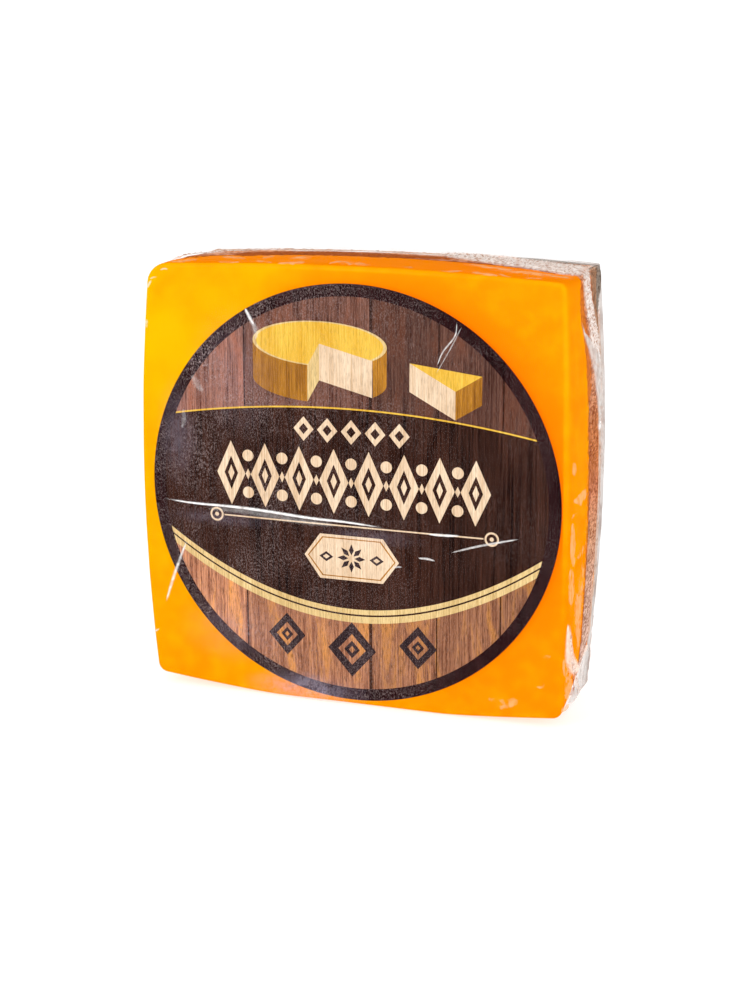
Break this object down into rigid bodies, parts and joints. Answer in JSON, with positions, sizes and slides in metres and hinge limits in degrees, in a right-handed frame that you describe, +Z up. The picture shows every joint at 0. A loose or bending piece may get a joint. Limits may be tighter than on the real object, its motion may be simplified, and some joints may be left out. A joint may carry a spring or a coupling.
{
  "type": "film-wrapped square cheese block",
  "caption": "Square block of hard cheese in a smooth orange coating, with a round label on its face and a printed band round its sides, sealed in clear shrink film.",
  "frame": {"origin": "bottom centre of the whole object, on the surface that it stands on", "axes": "+Z up, +X along the square front face, -Y the way the labelled front face looks"},
  "size_m": [0.276, 0.0732, 0.2726],
  "materials": {
    "wrapped_cheese": "smooth orange cheese coating under clear, glossy, lightly creased shrink film",
    "label_print": "printed paper in dark browns, with wood planks, cream and gold shapes, under film",
    "band_print": "printed paper with a mid-brown wood grain, under film"
  },
  "bodies": {
    "root": {"wrapped_block": "wrapped_cheese", "round_label": "label_print", "side_band": "band_print"}
  },
  "joints": []
}
